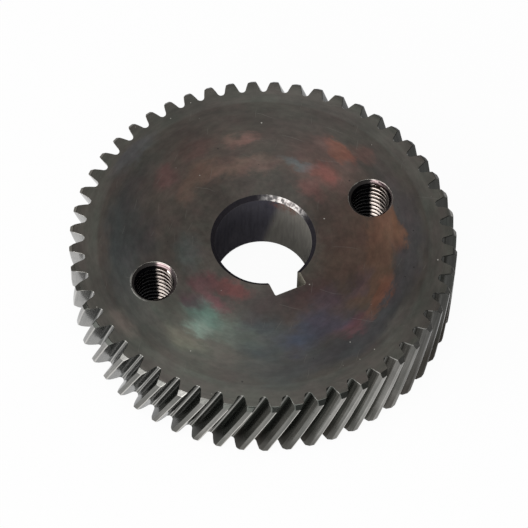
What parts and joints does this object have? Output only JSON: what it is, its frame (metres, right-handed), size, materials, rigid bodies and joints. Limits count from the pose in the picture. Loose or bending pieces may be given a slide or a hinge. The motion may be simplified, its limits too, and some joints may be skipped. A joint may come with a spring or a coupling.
{
  "type": "helical gear",
  "caption": "Single-helical steel gear with right-hand teeth, a keyed centre bore and tapped puller holes through the web.",
  "frame": {"origin": "on the bore axis, at the lower face", "axes": "+Z along the bore axis, +X towards one puller hole, -Y towards the keyway"},
  "size_m": [0.0718, 0.0718, 0.0163],
  "materials": {
    "gear_steel": "heat-tinted and oiled machined steel"
  },
  "bodies": {
    "root": {"helical_gear": "gear_steel"}
  },
  "joints": []
}
